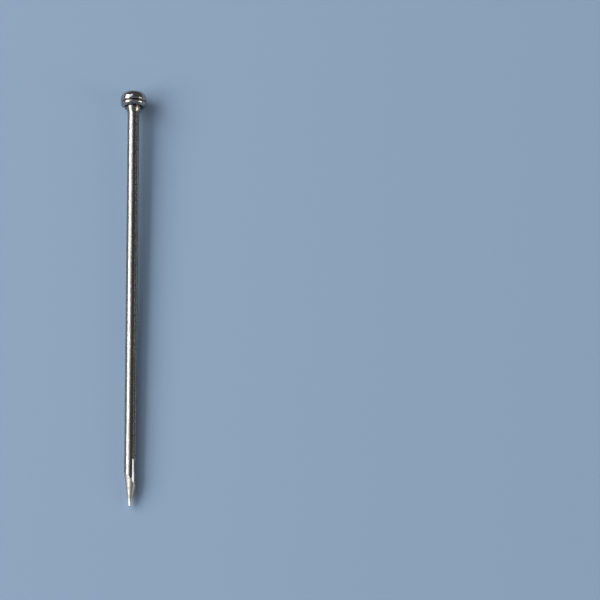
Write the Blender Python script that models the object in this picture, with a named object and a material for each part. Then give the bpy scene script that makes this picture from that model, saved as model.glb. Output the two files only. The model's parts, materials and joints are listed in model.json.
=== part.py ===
# A straight pin with a wound head, lying at rest on a flat surface.
#
# It is two pieces of nickel plated steel wire. The shank is drawn wire with a cut end at the
# crown, a swollen neck under the head and a ground point. The head is two turns of head wire,
# closed round the shank and pressed to a ball with a flat foot, with the two cut ends of the
# wire flattened into the step between the turns.
#
# Lengths are in metres. Heights run along the pin's axis, from the tip. Bearings run round
# it: 0 is the upper side as the pin lies, 90 degrees is the +X side, 180 the lower side.

import math

import bmesh
import bpy
import numpy
from mathutils import Matrix, Vector

PIN_LENGTH = 0.028
SHANK_DIAMETER = 0.00076
CROWN_EDGE = 0.00006
NECK_SWELL = 0.00011
NECK_LENGTH = 0.00047

HEAD_DIAMETER = 0.00168
CROWN_TURN = 0.00069
LOWER_TURN = 0.00031
BELLY_DEPTH = 0.00060
CROWN_RISE = 0.00003
RIM_WIDTH = 0.00007
FOOT_INSET = 0.00014
EDGE_DEPTH = 0.000015
GROOVE_DEPTH = 0.00012
GROOVE_SHOULDER = 0.00013
TURN_GAP = 0.00002
HEAD_CLEARANCE = 0.00001
HEAD_FULLNESS = 2.8

CROSSOVER_ANGLE = math.radians(90)
CROSSOVER_BEARING = math.radians(225)
TAIL_ANGLE = math.radians(64)

TIP_WIDTH = 0.00013
POINT_LENGTH = 0.00175
POINT_SKEW = 0.0005
POINT_SKEW_BEARING = math.radians(270)
FLAT_LENGTH = 0.00308
FLAT_RAMP = 0.00005
FLAT_DEPTH = 0.000008
FLAT_BEARING = math.radians(31)

SHANK_SIDES = 60
STATIONS_PER_TURN = 48
TURN_COUNT = 2
OUTER_POINTS = 15
EDGE_POINTS = 4
NECK_POINTS = 10
POINT_FACES = 16

SHANK_RADIUS = SHANK_DIAMETER / 2
HEAD_RADIUS = HEAD_DIAMETER / 2
BORE_RADIUS = SHANK_RADIUS + HEAD_CLEARANCE
RIM_RADIUS = BORE_RADIUS + RIM_WIDTH
FOOT_RADIUS = HEAD_RADIUS - FOOT_INSET
HEAD_TOP = PIN_LENGTH - CROWN_RISE
HEAD_BOTTOM = HEAD_TOP - CROWN_TURN - LOWER_TURN


def at(bearing, radius, height):
    return Vector((radius * math.sin(bearing), -radius * math.cos(bearing), height))


def plated_steel(name, colour, roughness):
    material = bpy.data.materials.new(name)
    material.use_nodes = True
    shader = material.node_tree.nodes["Principled BSDF"]
    shader.inputs["Base Color"].default_value = (*colour, 1.0)
    shader.inputs["Metallic"].default_value = 1.0
    shader.inputs["Roughness"].default_value = roughness
    return material


def named_object(name, shape, material, parent):
    bmesh.ops.recalc_face_normals(shape, faces=shape.faces)
    mesh = bpy.data.meshes.new(name)
    shape.to_mesh(mesh)
    shape.free()
    mesh.materials.append(material)
    mesh.shade_smooth()
    mesh.set_sharp_from_angle(angle=math.radians(35))
    piece = bpy.data.objects.new(name, mesh)
    piece.parent = parent
    bpy.context.collection.objects.link(piece)
    return piece


# The shank is turned from its outline. A narrow flat is then ground along it, and the point is
# ground all round, further back on one side than on the other.

def shank_outline():
    neck_top = HEAD_BOTTOM - HEAD_CLEARANCE
    outline = [(0, PIN_LENGTH), (SHANK_RADIUS - CROWN_EDGE, PIN_LENGTH)]
    for step in range(1, EDGE_POINTS + 1):
        turn = math.pi / 2 * step / EDGE_POINTS
        inward = CROWN_EDGE * (1 - math.sin(turn))
        down = CROWN_EDGE * (1 - math.cos(turn))
        outline.append((SHANK_RADIUS - inward, PIN_LENGTH - down))
    outline.append((SHANK_RADIUS, neck_top))
    for step in range(NECK_POINTS + 1):
        share = step / NECK_POINTS
        swell = NECK_SWELL * (1 + math.cos(math.pi * share)) / 2
        outline.append((SHANK_RADIUS + swell, neck_top - NECK_LENGTH * share))
    outline.append((SHANK_RADIUS, 0))
    outline.append((0, 0))
    return outline


def cut_ring(shape, height):
    everything = shape.verts[:] + shape.edges[:] + shape.faces[:]
    bmesh.ops.bisect_plane(shape, geom=everything, plane_co=(0, 0, height), plane_no=(0, 0, 1))


def grind_flat(shape):
    cut_ring(shape, FLAT_LENGTH)
    cut_ring(shape, FLAT_LENGTH - FLAT_RAMP)
    facing = at(FLAT_BEARING, 1, 0)
    for vert in shape.verts:
        proud = vert.co.dot(facing) - (SHANK_RADIUS - FLAT_DEPTH)
        if proud > 0 and vert.co.z < FLAT_LENGTH - FLAT_RAMP / 2:
            vert.co -= facing * proud


def grind_point(shape):
    tip_radius = TIP_WIDTH / 2
    for face in range(POINT_FACES):
        bearing = math.tau * face / POINT_FACES
        length = POINT_LENGTH + POINT_SKEW * math.cos(bearing - POINT_SKEW_BEARING)
        slope = math.atan2(SHANK_RADIUS - tip_radius, length)
        facing = at(bearing, math.cos(slope), -math.sin(slope))
        everything = shape.verts[:] + shape.edges[:] + shape.faces[:]
        cut = bmesh.ops.bisect_plane(
            shape, geom=everything, plane_co=at(bearing, tip_radius, 0), plane_no=facing, clear_outer=True
        )
        rim = [part for part in cut["geom_cut"] if isinstance(part, bmesh.types.BMEdge)]
        bmesh.ops.holes_fill(shape, edges=rim)


def make_shank(parent):
    shape = bmesh.new()
    points = [shape.verts.new(at(0, radius, height)) for radius, height in shank_outline()]
    edges = [shape.edges.new(pair) for pair in zip(points, points[1:])]
    bmesh.ops.spin(
        shape, geom=points + edges, axis=(0, 0, 1), angle=math.tau, steps=SHANK_SIDES, use_merge=True
    )
    bmesh.ops.remove_doubles(shape, verts=shape.verts, dist=1e-8)
    grind_flat(shape)
    grind_point(shape)
    steel = plated_steel("nickel_plated_wire", (0.37, 0.34, 0.30), 0.20)
    return named_object("shank", shape, steel, parent)


# The head is one wire. Its section changes as it goes round: level on each turn, then stepping
# down to the next turn in the crossover. All sections fill one rounded ball outline, and the
# wire's two ends taper out in the same crossover.

def ball_radius(height):
    belly = HEAD_TOP - BELLY_DEPTH
    end, end_radius = (HEAD_TOP, RIM_RADIUS) if height > belly else (HEAD_BOTTOM, FOOT_RADIUS)
    offset = (height - belly) / (end - belly)
    at_end = 1 - (end_radius / HEAD_RADIUS) ** HEAD_FULLNESS
    return HEAD_RADIUS * (1 - at_end * offset ** HEAD_FULLNESS) ** (1 / HEAD_FULLNESS)


def shoulder(distance):
    into = max(0.0, 1 - distance / GROOVE_SHOULDER)
    return 1 - math.sqrt(1 - into * into)


def groove_at(height):
    from_rim = max(0, min(HEAD_TOP - height, height - HEAD_BOTTOM))
    share = min(1, from_rim / GROOVE_SHOULDER)
    return EDGE_DEPTH + (GROOVE_DEPTH - EDGE_DEPTH) * share


def wire_limits(angle):
    half_gap = TURN_GAP / 2
    crown = HEAD_TOP + half_gap
    groove = HEAD_TOP - CROWN_TURN
    foot = HEAD_BOTTOM - half_gap
    levels = (crown, crown, groove, foot, foot)
    turn = math.floor(angle / math.tau)
    level_part = math.tau - CROSSOVER_ANGLE
    step = max(0, angle - turn * math.tau - level_part) / CROSSOVER_ANGLE
    step = step * step * (3 - 2 * step)
    high = levels[turn + 1] * (1 - step) + levels[turn + 2] * step
    low = levels[turn + 2] * (1 - step) + levels[turn + 3] * step
    return low + half_gap, high - half_gap


def wire_section(angle):
    low, high = wire_limits(angle)
    section = [(BORE_RADIUS, high), (BORE_RADIUS, low)]
    for point in range(OUTER_POINTS):
        share = (1 - math.cos(math.pi * point / (OUTER_POINTS - 1))) / 2
        height = low + (high - low) * share
        hollow = groove_at(low) * shoulder(height - low) + groove_at(high) * shoulder(high - height)
        section.append((ball_radius(height) - hollow, height))
    return section


def wire_angles():
    start = -TAIL_ANGLE
    end = TURN_COUNT * math.tau - CROSSOVER_ANGLE + TAIL_ANGLE
    count = round((end - start) / math.tau * STATIONS_PER_TURN)
    return [start + (end - start) * station / count for station in range(count + 1)]


def print_least_gap(loops):
    points = numpy.array([[vert.co[:] for vert in loop] for loop in loops])
    half_turn = STATIONS_PER_TURN // 2
    least = math.inf
    for station in range(len(points) - half_turn):
        later = points[station + half_turn:].reshape(-1, 3)
        apart = numpy.linalg.norm(points[station][:, None] - later[None], axis=2)
        least = min(least, apart.min())
    print(f"wound head: least gap between its turns is {least * 1000:.3f} mm")


def make_wound_head(parent):
    shape = bmesh.new()
    first_bearing = CROSSOVER_BEARING + CROSSOVER_ANGLE / 2
    loops = []
    for angle in wire_angles():
        section = wire_section(angle)
        loops.append([shape.verts.new(at(first_bearing + angle, *point)) for point in section])
    print_least_gap(loops)
    for here, there in zip(loops, loops[1:]):
        for corner in range(len(here)):
            before = corner - 1
            shape.faces.new((here[before], there[before], there[corner], here[corner]))
    shape.faces.new(loops[0])
    shape.faces.new(loops[-1])
    steel = plated_steel("nickel_plated_head_wire", (0.46, 0.43, 0.39), 0.18)
    return named_object("wound_head", shape, steel, parent)


# The pin lies on its head and on the shank just above the point, so it leans a little.

def lowest(points, lean):
    return min(point.z * math.sin(lean) - point.y * math.cos(lean) for point in points)


def resting_lean(head_points, shank_points):
    level, steep = 0.0, math.radians(45)
    for _ in range(50):
        lean = (level + steep) / 2
        if lowest(head_points, lean) < lowest(shank_points, lean):
            level = lean
        else:
            steep = lean
    return lean


def lay_down(pin, shank, head):
    shank_points = [vert.co for vert in shank.data.vertices]
    head_points = [vert.co for vert in head.data.vertices]
    lean = resting_lean(head_points, shank_points)
    turn = Matrix.Rotation(lean - math.pi / 2, 3, "X")
    laid = [turn @ point for point in shank_points + head_points]
    low = [min(point[axis] for point in laid) for axis in range(3)]
    high = [max(point[axis] for point in laid) for axis in range(3)]
    pin.rotation_euler = turn.to_euler()
    pin.location = (-(low[0] + high[0]) / 2, -(low[1] + high[1]) / 2, -low[2])


def main():
    for old in list(bpy.data.objects):
        bpy.data.objects.remove(old)
    pin = bpy.data.objects.new("pin_axis", None)
    bpy.context.collection.objects.link(pin)
    shank = make_shank(pin)
    head = make_wound_head(pin)
    lay_down(pin, shank, head)


main()
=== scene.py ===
import json
import math

import bpy
from mathutils import Matrix, Vector

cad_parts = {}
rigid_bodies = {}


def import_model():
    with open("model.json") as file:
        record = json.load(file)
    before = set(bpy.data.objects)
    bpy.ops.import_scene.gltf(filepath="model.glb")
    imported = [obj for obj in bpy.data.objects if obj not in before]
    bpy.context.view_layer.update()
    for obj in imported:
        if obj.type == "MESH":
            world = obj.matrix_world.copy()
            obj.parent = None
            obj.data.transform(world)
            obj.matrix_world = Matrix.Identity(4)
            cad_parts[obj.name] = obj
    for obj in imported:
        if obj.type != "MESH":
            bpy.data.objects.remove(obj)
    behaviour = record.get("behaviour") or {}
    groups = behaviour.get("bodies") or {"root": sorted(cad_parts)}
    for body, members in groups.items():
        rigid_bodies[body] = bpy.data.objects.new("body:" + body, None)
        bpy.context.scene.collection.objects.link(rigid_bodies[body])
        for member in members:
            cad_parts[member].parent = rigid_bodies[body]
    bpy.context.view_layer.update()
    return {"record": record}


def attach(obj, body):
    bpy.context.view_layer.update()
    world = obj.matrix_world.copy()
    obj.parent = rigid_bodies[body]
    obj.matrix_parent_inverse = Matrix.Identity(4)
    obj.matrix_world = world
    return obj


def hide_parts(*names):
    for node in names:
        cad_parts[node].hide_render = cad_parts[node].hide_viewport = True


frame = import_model()
mm = 0.001


# small tools

def linearColour(hexText):
    channels = [int(hexText[i:i + 2], 16) / 255 for i in (1, 3, 5)]
    return [c / 12.92 if c <= 0.04045 else ((c + 0.055) / 1.055) ** 2.4 for c in channels] + [1.0]


def addNode(tree, kind, settings=None, inputs=None):
    node = tree.nodes.new(kind)
    for name, value in (settings or {}).items():
        setattr(node, name, value)
    for name, value in (inputs or {}).items():
        if isinstance(value, bpy.types.NodeSocket):
            tree.links.new(value, node.inputs[name])
        else:
            node.inputs[name].default_value = value
    return node


def startMaterial(name):
    material = bpy.data.materials.new(name)
    material.use_nodes = True
    tree = material.node_tree
    return material, tree, tree.nodes["Principled BSDF"]


def pickNothing():
    if bpy.context.mode != "OBJECT":
        bpy.ops.object.mode_set(mode="OBJECT")
    bpy.ops.object.select_all(action="DESELECT")


def pickOnly(piece):
    pickNothing()
    piece.select_set(True)
    bpy.context.view_layer.objects.active = piece


def applyModifier(piece, kind, settings):
    modifier = piece.modifiers.new(kind.lower(), kind)
    for name, value in settings.items():
        setattr(modifier, name, value)
    pickOnly(piece)
    bpy.ops.object.modifier_apply(modifier=modifier.name)


# the pin is modelled upright, tip at the origin, and then laid where the CAD pin lies

pinLength = 28.0 * mm
crownMount = next(mount for mount in frame["record"]["mounts"] if mount["name"] == "crown")
pinAxis = Vector(crownMount["axis"]).normalized()
pinTip = Vector(crownMount["pos_m"]) - pinAxis * pinLength
pinLean = math.asin(pinAxis.z)


def layDown(piece):
    turn = Matrix.Rotation(pinLean - math.pi / 2, 4, "X")
    piece.matrix_world = Matrix.Translation(pinTip) @ turn
    pickOnly(piece)
    bpy.ops.object.transform_apply(location=True, rotation=True, scale=True)


def around(bearing, radius, height):  # bearing 0 is the upper side as the pin lies, 90 degrees the right
    return Vector((radius * math.sin(bearing), -radius * math.cos(bearing), height))


def fitToFrame(piece, body, node):
    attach(piece, body)
    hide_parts(node)


# shank: drawn wire with a swollen neck, a flat along one side above the point, and a ground point

shankSpec = {
    "diameter": 0.76 * mm,
    "sides": 128,
    "neckSwell": 0.11 * mm,
    "neckLength": 0.47 * mm,
    "neckRings": 24,
    "neckTop": 26.96 * mm,
    "rings": (4.2 * mm, 8.0 * mm, 12.0 * mm, 16.0 * mm, 20.0 * mm, 24.0 * mm),  # break up the long faces
    "crownEdge": 0.06 * mm,
    "crownEdgeSteps": 18,
    "crownDish": 0.012 * mm,
    "crownDishInset": 0.10 * mm,
    "crownDishFloor": 0.7,  # share of the dish's width that is its level floor
    "flatLength": 3.08 * mm,  # from the tip
    "flatRamp": 0.05 * mm,
    "flatDepth": 0.008 * mm,
    "flatBearing": math.radians(31),
    "flatFacing": 0.9999,  # faces at least this square to the bearing belong to the flat
    "pointFaces": 64,
    "pointLength": 1.75 * mm,
    "pointSkew": 0.5 * mm,  # the left side is ground this much further back, the right side less
    "pointSkewBearing": math.radians(270),
    "tipWidth": 0.13 * mm,
    "sharpAngle": math.radians(6),  # sharp enough to keep the edges of the flat
    "levelWithin": 0.0001 * mm,  # faces this close in height are level with each other
    "facingUp": 0.9,  # least upward part of the normal of a top face
    "cutThreshold": 0.000001 * mm,  # the default is nearly as wide as the tip
}

groundSlot, shearedSlot, flatSlot = 1, 2, 3  # the shank's other finishes, slot 0 being the drawn wire


def pickTopFace(piece, spec):
    mesh = piece.data
    bpy.ops.mesh.select_all(action="DESELECT")
    bpy.ops.object.mode_set(mode="OBJECT")
    top = max(face.center.z for face in mesh.polygons)
    for face in mesh.polygons:
        level = abs(face.center.z - top) < spec["levelWithin"]
        face.select = level and face.normal.z > spec["facingUp"]
    bpy.ops.object.mode_set(mode="EDIT")


def growRing(rise, scale):
    bpy.ops.mesh.extrude_region_move(TRANSFORM_OT_translate={"value": (0, 0, rise)})
    bpy.ops.transform.resize(value=(scale, scale, 1))


def growCrown(shank, spec):
    radius = spec["diameter"] / 2
    pickTopFace(shank, spec)
    wide = radius
    for ring in range(1, spec["neckRings"] + 1):
        share = ring / spec["neckRings"]
        swollen = radius + spec["neckSwell"] * (1 - math.cos(math.pi * share)) / 2
        growRing(spec["neckLength"] / spec["neckRings"], swollen / wide)
        wide = swollen
    growRing(0, radius / wide)  # shoulder that the head sits on
    growRing(pinLength - spec["neckTop"], 1)
    bpy.ops.mesh.bevel(offset=spec["crownEdge"], segments=spec["crownEdgeSteps"], affect="EDGES")
    pickTopFace(shank, spec)
    bpy.ops.mesh.inset(thickness=spec["crownDishInset"])
    growRing(-spec["crownDish"], spec["crownDishFloor"])  # the cut end is slightly dished
    bpy.ops.mesh.select_more()  # the dish's sloping side
    bpy.ops.mesh.select_more()  # the level rim round it
    shank.active_material_index = shearedSlot
    bpy.ops.object.material_slot_assign()


def cutRing(height, spec):
    bpy.ops.mesh.select_all(action="SELECT")
    bpy.ops.mesh.bisect(plane_co=(0, 0, height), plane_no=(0, 0, 1), threshold=spec["cutThreshold"])


def pressFlat(shank, spec):
    bpy.ops.object.mode_set(mode="OBJECT")
    facing = around(spec["flatBearing"], 1, 0)
    level = spec["diameter"] / 2 - spec["flatDepth"]
    below = spec["flatLength"] - spec["flatRamp"] / 2
    for point in shank.data.vertices:
        proud = point.co.dot(facing) - level
        if proud > 0 and point.co.z < below:
            point.co -= facing * proud
    shank.data.update()
    for face in shank.data.polygons:
        if face.center.z < below and face.normal.dot(facing) > spec["flatFacing"]:
            face.material_index = flatSlot
    bpy.ops.object.mode_set(mode="EDIT")


def grindPoint(shank, spec):
    shank.active_material_index = groundSlot
    radius, tipDistance = spec["diameter"] / 2, spec["tipWidth"] / 2
    for face in range(spec["pointFaces"]):
        bearing = math.tau * face / spec["pointFaces"]
        length = spec["pointLength"] + spec["pointSkew"] * math.cos(bearing - spec["pointSkewBearing"])
        slope = math.atan2(radius - tipDistance, length)
        bpy.ops.mesh.select_all(action="SELECT")
        bpy.ops.mesh.bisect(
            plane_co=around(bearing, tipDistance, 0),
            plane_no=around(bearing, math.cos(slope), -math.sin(slope)),
            use_fill=True, clear_outer=True, threshold=spec["cutThreshold"],
        )
        bpy.ops.object.material_slot_assign()


def makeShank(spec):
    neckFoot = spec["neckTop"] - spec["neckLength"]
    pickNothing()
    bpy.ops.mesh.primitive_cylinder_add(
        vertices=spec["sides"], radius=spec["diameter"] / 2, depth=neckFoot, location=(0, 0, neckFoot / 2)
    )
    shank = bpy.context.object
    shank.name = "pinShank"
    bpy.ops.object.transform_apply(location=True, rotation=True, scale=True)
    for finish in (drawnNickel(), groundNickel(), shearedSteel(), flatNickel()):
        shank.data.materials.append(finish)

    bpy.ops.object.mode_set(mode="EDIT")
    bpy.ops.mesh.select_mode(type="FACE")
    growCrown(shank, spec)
    for height in (spec["flatLength"], spec["flatLength"] - spec["flatRamp"], *spec["rings"]):
        cutRing(height, spec)
    pressFlat(shank, spec)
    grindPoint(shank, spec)
    bpy.ops.object.mode_set(mode="OBJECT")

    bpy.ops.object.shade_smooth_by_angle(angle=spec["sharpAngle"])
    layDown(shank)
    fitToFrame(shank, "root", "shank")


# wound head: two turns of round wire on the shank, then pressed to a ball with a flat foot

headSpec = {
    "diameter": 1.68 * mm,
    "top": 27.97 * mm,
    "turnHeights": (0.69 * mm, 0.31 * mm),
    "bellyDepth": 0.60 * mm,  # the widest level, below the top
    "fullness": 2.8,  # 2 is a round outline, more is squarer
    "bore": 0.78 * mm,
    "rim": 0.07 * mm,
    "footInset": 0.14 * mm,
    "grooveDepth": 0.12 * mm,
    "grooveShoulder": 0.13 * mm,
    "edgeDepth": 0.015 * mm,  # how far the crown's and the foot's edges are rounded in
    "turnGap": 0.02 * mm,
    "wireDiameter": 0.43 * mm,
    "crossover": math.radians(90),
    "crossoverBearing": math.radians(225),
    "tail": math.radians(64),
    "stationsPerTurn": 144,
    "outerPoints": 36,
    "sidePoints": 4,
    "sharpAngle": math.radians(40),
}
headSpec["bottom"] = headSpec["top"] - sum(headSpec["turnHeights"])


def ballRadius(spec, height):
    radius, power = spec["diameter"] / 2, spec["fullness"]
    belly = spec["top"] - spec["bellyDepth"]
    end, endRadius = spec["top"], spec["bore"] / 2 + spec["rim"]
    if height < belly:
        end, endRadius = spec["bottom"], radius - spec["footInset"]
    atEnd = 1 - (endRadius / radius) ** power
    return radius * (1 - atEnd * ((height - belly) / (end - belly)) ** power) ** (1 / power)


def grooveAt(spec, height):
    fromRim = max(0, min(spec["top"] - height, height - spec["bottom"]))
    share = min(1, fromRim / spec["grooveShoulder"])
    return spec["edgeDepth"] + (spec["grooveDepth"] - spec["edgeDepth"]) * share


def shoulder(spec, distance):
    into = max(0, 1 - distance / spec["grooveShoulder"])
    return 1 - math.sqrt(1 - into * into)


def turnLimits(spec, angle):  # lower and upper side of the wire, which steps down a turn in the crossover
    halfGap = spec["turnGap"] / 2
    crownLevel, footLevel = spec["top"] + halfGap, spec["bottom"] - halfGap
    levels = (crownLevel, crownLevel, spec["top"] - spec["turnHeights"][0], footLevel, footLevel)
    turn = math.floor(angle / math.tau)
    step = max(0, angle - turn * math.tau - math.tau + spec["crossover"]) / spec["crossover"]
    step = step * step * (3 - 2 * step)  # eased at both ends
    high = levels[turn + 1] * (1 - step) + levels[turn + 2] * step
    low = levels[turn + 2] * (1 - step) + levels[turn + 3] * step
    return low + halfGap, high - halfGap


def pressedSection(spec, angle):
    low, high = turnLimits(spec, angle)
    section, depth = [], []
    for point in range(spec["outerPoints"]):
        share = (1 - math.cos(math.pi * point / (spec["outerPoints"] - 1))) / 2
        height = low + (high - low) * share
        hollow = grooveAt(spec, low) * shoulder(spec, height - low)
        hollow += grooveAt(spec, high) * shoulder(spec, high - height)
        section.append((ballRadius(spec, height) - hollow, height))
        depth.append(hollow / spec["grooveDepth"])
    bore, count = spec["bore"] / 2, spec["sidePoints"]
    corners = [section[-1], (bore, high), (bore, low), section[0]]
    for point in range(1, 3 * count):  # upper side, wall on the shank, lower side
        side, part = divmod(point, count)
        start, end = corners[side], corners[side + 1]
        section.append([a + (b - a) * part / count for a, b in zip(start, end)])
        # the head's flat top, inner wall and foot take the full tarnish and painted shade
        depth.append(1.0)
    return section, depth


def windWire(spec, ringPoints, windAngle, steps):
    pickNothing()
    bpy.ops.mesh.primitive_circle_add(
        vertices=ringPoints, radius=spec["wireDiameter"] / 2, fill_type="NOTHING",
        location=((spec["bore"] + spec["wireDiameter"]) / 2, 0, spec["top"]), rotation=(math.pi / 2, 0, 0),
    )
    head = bpy.context.object
    head.name = "pinHead"
    bpy.ops.object.transform_apply(location=True, rotation=True, scale=True)
    applyModifier(head, "SCREW", {
        "axis": "Z", "angle": windAngle, "screw_offset": spec["bottom"] - spec["top"],
        "steps": steps, "render_steps": steps,
    })
    bpy.ops.object.mode_set(mode="EDIT")
    bpy.ops.mesh.select_mode(type="EDGE")
    bpy.ops.mesh.select_all(action="DESELECT")
    bpy.ops.mesh.select_non_manifold()  # the two open ends of the wire
    bpy.ops.mesh.edge_face_add()
    bpy.ops.object.mode_set(mode="OBJECT")
    return head


def makeHead(spec):
    ringPoints = len(pressedSection(spec, 0)[0])
    windAngle = len(spec["turnHeights"]) * math.tau - spec["crossover"] + 2 * spec["tail"]
    steps = round(windAngle / math.tau * spec["stationsPerTurn"])
    head = windWire(spec, ringPoints, windAngle, steps)
    print("head wire wound,", steps, "steps of", ringPoints, "points")

    firstBearing = spec["crossoverBearing"] + spec["crossover"] / 2 - spec["tail"]
    # grooveShare says how much tarnish and painted shade each point gets
    hollows = head.data.attributes.new("grooveShare", "FLOAT", "POINT")
    for station in range(steps + 1):  # the dies press every turn into the ball
        angle = windAngle * station / steps
        section, depth = pressedSection(spec, angle - spec["tail"])
        for point, (radius, rise) in enumerate(section):
            index = station * ringPoints + point
            head.data.vertices[index].co = around(firstBearing + angle, radius, rise)
            hollows.data[index].value = depth[point]
    head.data.materials.append(pressedNickel())

    pickOnly(head)
    bpy.ops.object.mode_set(mode="EDIT")
    bpy.ops.mesh.select_all(action="SELECT")
    bpy.ops.mesh.normals_make_consistent(inside=False)
    bpy.ops.object.mode_set(mode="OBJECT")
    bpy.ops.object.shade_smooth_by_angle(angle=spec["sharpAngle"])
    layDown(head)
    fitToFrame(head, "root", "wound_head")


# finishes: every pattern is laid along the pin, with its real size across and along it

noiseLow, noiseHigh = 0.3, 0.7  # nearly all of a noise lies between these
# sockets of a Mix node go by number, because several of them share a name
mixFactor, floatA, floatB, colourA, colourB = 0, 2, 3, 6, 7
mixedFloat, mixedColour = 0, 2


def alongPin(tree, across, along):  # starts at the tip and runs along the pin as Y
    place = addNode(tree, "ShaderNodeTexCoord")
    laid = addNode(tree, "ShaderNodeMapping", {"vector_type": "TEXTURE"}, {
        "Vector": place.outputs["Object"], "Location": pinTip,
        "Rotation": (pinLean, 0, 0), "Scale": (across, along, across),
    })
    return laid.outputs["Vector"]


def layMarks(tree, marks):
    pattern = addNode(tree, "ShaderNodeTexNoise", None, {
        "Vector": alongPin(tree, marks["across"], marks["along"]),
        "Scale": 1.0, "Detail": marks["detail"],
    })
    return pattern.outputs["Fac"]


def toneAndGloss(tree, spec, toneMarks, glossMarks):  # dull and rough to bright and smooth
    share = addNode(tree, "ShaderNodeMapRange", None, {
        "Value": toneMarks, "From Min": noiseLow, "From Max": noiseHigh,
    })
    tone = addNode(tree, "ShaderNodeMix", {"data_type": "RGBA"}, {
        mixFactor: share.outputs["Result"],
        colourA: linearColour(spec["dull"]), colourB: linearColour(spec["bright"]),
    })
    smoothest, roughest = spec["roughness"]
    gloss = addNode(tree, "ShaderNodeMapRange", None, {
        "Value": glossMarks, "From Min": noiseLow, "From Max": noiseHigh,
        "To Min": roughest, "To Max": smoothest,
    })
    return tone.outputs[mixedColour], gloss.outputs["Result"]


def coverMetal(tree, shader, colour, roughness, relief=None):
    shader.inputs["Metallic"].default_value = 1.0
    tree.links.new(colour, shader.inputs["Base Color"])
    tree.links.new(roughness, shader.inputs["Roughness"])
    if relief:
        tree.links.new(relief.outputs["Normal"], shader.inputs["Normal"])


drawnSpec = {
    "dull": "#9D978F", "bright": "#B1ACA4", "roughness": (0.13, 0.22),
    "clouds": {"across": 0.9 * mm, "along": 2.2 * mm, "detail": 4.0},
    # draw lines and pits are finer than this on the wire, and are widened to show
    "lines": {"across": 0.07 * mm, "along": 5.0 * mm, "detail": 3.0, "depth": 0.0012 * mm},
    "pits": {"across": 0.14 * mm, "along": 0.24 * mm, "detail": 2.0, "depth": 0.0005 * mm},
    "pitColour": "#8E8880", "pitRoughness": 0.28,
    "pitFull": 0.40, "pitEnd": 0.58,  # the noise is all pit below the first and has none above the second
    "waves": {"across": 0.35 * mm, "along": 1.6 * mm, "detail": 1.0, "depth": 0.005 * mm},
}


# bright nickel on drawn steel wire: a mirror with fine lines, matt pits and faint cloudy dull places
def drawnNickel():
    spec = drawnSpec
    material, tree, shader = startMaterial("nickelPlatedDrawnSteel")
    lines = layMarks(tree, spec["lines"])
    pits = layMarks(tree, spec["pits"])
    tone, gloss = toneAndGloss(tree, spec, layMarks(tree, spec["clouds"]), lines)
    sound = addNode(tree, "ShaderNodeMapRange", None, {
        "Value": pits, "From Min": spec["pitFull"], "From Max": spec["pitEnd"],
    })
    pitted = addNode(tree, "ShaderNodeMix", {"data_type": "RGBA"}, {
        mixFactor: sound.outputs["Result"], colourA: linearColour(spec["pitColour"]), colourB: tone,
    })
    matt = addNode(tree, "ShaderNodeMix", {"data_type": "FLOAT"}, {
        mixFactor: sound.outputs["Result"], floatA: spec["pitRoughness"], floatB: gloss,
    })
    relief = addNode(tree, "ShaderNodeBump", None, {
        "Height": layMarks(tree, spec["waves"]), "Distance": spec["waves"]["depth"],
    })
    for height, marks in ((pits, spec["pits"]), (lines, spec["lines"])):
        relief = addNode(tree, "ShaderNodeBump", None, {
            "Height": height, "Distance": marks["depth"], "Normal": relief.outputs["Normal"],
        })
    coverMetal(tree, shader, pitted.outputs[mixedColour], matt.outputs[mixedFloat], relief)
    return material


groundSpec = {
    "dull": "#9E9891", "bright": "#B5B0A8", "roughness": (0.44, 0.58),
    # grinding lines run round the point, and are widened to show
    "lines": {"across": 0.5 * mm, "along": 0.08 * mm, "detail": 3.0, "depth": 0.002 * mm},
    # the tip colour is a painted highlight: near white at the very end, fading along the point
    "tip": "#EFEDEA", "tipHighlightLength": 0.55 * mm,
}


# ground steel under thin nickel: duller and whiter than the wire, with lines round it and a painted
# highlight on the tip
def groundNickel():
    spec = groundSpec
    material, tree, shader = startMaterial("nickelPlatedGroundSteel")
    lines = layMarks(tree, spec["lines"])
    tone, gloss = toneAndGloss(tree, spec, lines, lines)
    fromTip = addNode(tree, "ShaderNodeSeparateXYZ", None, {
        "Vector": alongPin(tree, spec["tipHighlightLength"], spec["tipHighlightLength"]),
    })
    # painted highlight at the tip, fading out over tipHighlightLength
    tipHighlight = addNode(tree, "ShaderNodeMix", {"data_type": "RGBA"}, {
        mixFactor: fromTip.outputs["Y"], colourA: linearColour(spec["tip"]), colourB: tone,
    })
    relief = addNode(tree, "ShaderNodeBump", None, {"Height": lines, "Distance": spec["lines"]["depth"]})
    coverMetal(tree, shader, tipHighlight.outputs[mixedColour], gloss, relief)
    return material


flatSpec = {
    "dull": "#BDBEBD", "bright": "#CDCECD", "roughness": (0.04, 0.10),
    # scuffs along the flat, finer than this on the pin
    "scuffs": {"across": 0.04 * mm, "along": 0.8 * mm, "detail": 2.0},
}


# nickel pressed flat by the die that gripped the wire: the smoothest place, with faint scuffs along it
def flatNickel():
    spec = flatSpec
    material, tree, shader = startMaterial("nickelPressedFlat")
    scuffs = layMarks(tree, spec["scuffs"])
    tone, gloss = toneAndGloss(tree, spec, scuffs, scuffs)
    coverMetal(tree, shader, tone, gloss)
    return material


shearedSpec = {
    "dull": "#7D7871", "bright": "#A9A49C", "roughness": (0.36, 0.55),
    "grain": {"across": 0.07 * mm, "along": 0.07 * mm, "detail": 4.0, "depth": 0.004 * mm},
}


# sheared end of the steel wire: bare grey steel, matt and grainy all over
def shearedSteel():
    spec = shearedSpec
    material, tree, shader = startMaterial("shearedSteelEnd")
    grain = layMarks(tree, spec["grain"])
    tone, gloss = toneAndGloss(tree, spec, grain, grain)
    relief = addNode(tree, "ShaderNodeBump", None, {"Height": grain, "Distance": spec["grain"]["depth"]})
    coverMetal(tree, shader, tone, gloss, relief)
    return material


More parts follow.
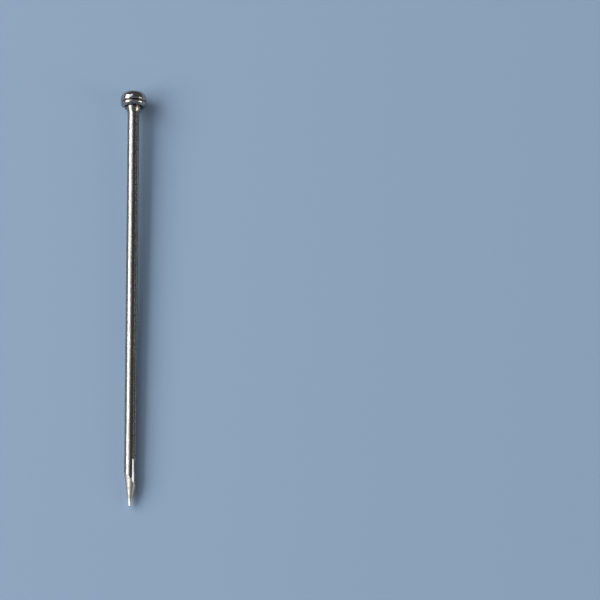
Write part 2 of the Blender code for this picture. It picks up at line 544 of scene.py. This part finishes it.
pressedSpec = {
    # the tarnish colour is partly real tarnish and partly painted shade in the grooves and on the foot
    "bright": "#B0ABA4", "tarnishAndShade": "#2E2C2B", "roughness": (0.13, 0.26),
    "tarnishAndShadeStart": 0.50, "tarnishAndShadeFull": 0.95,  # share of the groove's depth
    "tarnishAndShadeSpread": 0.4,  # the dents move the edge of the tarnish and painted shade by up to half this, either way
    "dents": {"across": 0.16 * mm, "along": 0.16 * mm, "detail": 2.0, "depth": 0.003 * mm},
}


# bright nickel on pressed head wire: smooth on the ridges, with small dents, and the grooves, the flat
# top, the inner wall and the foot darkened by tarnish with painted shade
def pressedNickel():
    spec = pressedSpec
    material, tree, shader = startMaterial("nickelPlatedPressedWire")
    dents = layMarks(tree, spec["dents"])
    groove = addNode(tree, "ShaderNodeAttribute", {"attribute_name": "grooveShare"})
    uneven = addNode(tree, "ShaderNodeMath", {"operation": "MULTIPLY_ADD"}, {
        0: dents, 1: spec["tarnishAndShadeSpread"], 2: groove.outputs["Fac"],
    })
    middle = spec["tarnishAndShadeSpread"] / 2
    # share of tarnish and painted shade: more the deeper into a groove, full on the head's flat sides
    tarnishAndShadeShare = addNode(tree, "ShaderNodeMapRange", {"interpolation_type": "SMOOTHSTEP"}, {
        "Value": uneven.outputs[0],
        "From Min": spec["tarnishAndShadeStart"] + middle, "From Max": spec["tarnishAndShadeFull"] + middle,
    })
    colour = addNode(tree, "ShaderNodeMix", {"data_type": "RGBA"}, {
        mixFactor: tarnishAndShadeShare.outputs["Result"],
        colourA: linearColour(spec["bright"]), colourB: linearColour(spec["tarnishAndShade"]),
    })
    smoothest, roughest = spec["roughness"]
    gloss = addNode(tree, "ShaderNodeMapRange", None, {
        "Value": tarnishAndShadeShare.outputs["Result"], "To Min": smoothest, "To Max": roughest,
    })
    relief = addNode(tree, "ShaderNodeBump", None, {"Height": dents, "Distance": spec["dents"]["depth"]})
    coverMetal(tree, shader, colour.outputs[mixedColour], gloss.outputs["Result"], relief)
    return material


# floor, lamps, camera

stageSpec = {
    "floorWidth": 2.0,
    "floorColour": "#99AEC3",
    "floorRoughness": 0.9,
    "floorSpecular": 0.1,
    "worldColour": "#F4F4F6",
    "worldStrength": 0.105,
    "lampDistance": 0.5,
}

lampSpecs = {  # bearings run from the head's end of the pin to the right, in degrees; sizes are in metres
    "windowSoftbox": {  # the bright line along the shank, and the shadow
        "bearing": -86, "elevation": 33, "size": (0.66, 0.30), "radiance": 5.35, "colour": "#FBFDFF",
    },
    "ceilingCard": {  # cool light from above
        "bearing": -60, "elevation": 58, "size": (0.50, 0.20), "radiance": 1.7, "colour": "#DCEAFF",
    },
    "frontCard": {  # faint cool light from the point's side
        "bearing": 180, "elevation": 52, "size": (1.0, 0.55), "radiance": 0.21, "colour": "#BAD6FF",
    },
    "rightLamp": {  # the patches on the right of the head and neck
        "bearing": 107, "elevation": 23, "size": (0.17, 0.27), "radiance": 3.2, "colour": "#FFFAF4",
    },
    "rightStrip": {  # mirrored by the flat above the point
        "bearing": 72, "elevation": 28.5, "size": (0.20, 0.02), "radiance": 1.7, "colour": "#FFFFFF",
    },
}

cameraSpec = {
    "lens": 400.0,
    "sensor": 36.0,
    "clipStart": 0.01,
    "elevation": 70.0,  # degrees, as is the roll
    "roll": 0.06,
    "distance": 0.427,
    "lookAt": (10.765 * mm, 0.028 * mm, 0.0),  # right of the pin, which lies left in the picture
}


def makeStage(spec):
    pickNothing()
    bpy.ops.mesh.primitive_plane_add(size=spec["floorWidth"], location=(0, 0, 0))
    floor = bpy.context.object
    floor.name = "paleFloor"
    material, _, shader = startMaterial("palePaper")  # matt pale blue, with hardly any sheen
    shader.inputs["Base Color"].default_value = linearColour(spec["floorColour"])
    shader.inputs["Roughness"].default_value = spec["floorRoughness"]
    shader.inputs["Specular IOR Level"].default_value = spec["floorSpecular"]
    floor.data.materials.append(material)
    world = bpy.data.worlds.new("studio")
    world.use_nodes = True
    sky = world.node_tree.nodes["Background"]
    sky.inputs["Color"].default_value = linearColour(spec["worldColour"])
    sky.inputs["Strength"].default_value = spec["worldStrength"]
    bpy.context.scene.world = world


def addLamp(name, spec, distance):
    bearing, rise = math.radians(spec["bearing"]), math.radians(spec["elevation"])
    away = Vector((math.sin(bearing) * math.cos(rise), math.cos(bearing) * math.cos(rise), math.sin(rise)))
    pickNothing()
    bpy.ops.object.light_add(type="AREA", location=away * distance)
    lamp = bpy.context.object
    lamp.name = name
    lamp.rotation_euler = away.to_track_quat("Z", "Y").to_euler()
    width, height = spec["size"]
    lamp.data.shape = "RECTANGLE"
    lamp.data.size = width
    lamp.data.size_y = height
    lamp.data.energy = spec["radiance"] * math.pi * width * height
    lamp.data.color = linearColour(spec["colour"])[:3]


def makeCamera(spec):
    rise = math.radians(spec["elevation"])
    back = Vector((0, -math.cos(rise), math.sin(rise)))
    bpy.ops.object.camera_add(location=Vector(spec["lookAt"]) + back * spec["distance"])
    camera = bpy.context.object
    tilt = Matrix.Rotation(math.pi / 2 - rise, 3, "X")
    roll = Matrix.Rotation(math.radians(spec["roll"]), 3, "Z")
    camera.rotation_euler = (tilt @ roll).to_euler()
    camera.data.lens = spec["lens"]
    camera.data.sensor_width = spec["sensor"]
    camera.data.clip_start = spec["clipStart"]
    bpy.context.scene.camera = camera


makeShank(shankSpec)
print("shank made")
makeHead(headSpec)
print("head made")
makeStage(stageSpec)
for lampName, lampSpec in lampSpecs.items():
    addLamp(lampName, lampSpec, stageSpec["lampDistance"])
makeCamera(cameraSpec)
bpy.context.scene.view_settings.view_transform = "Standard"
print("stage, lamps and camera made")
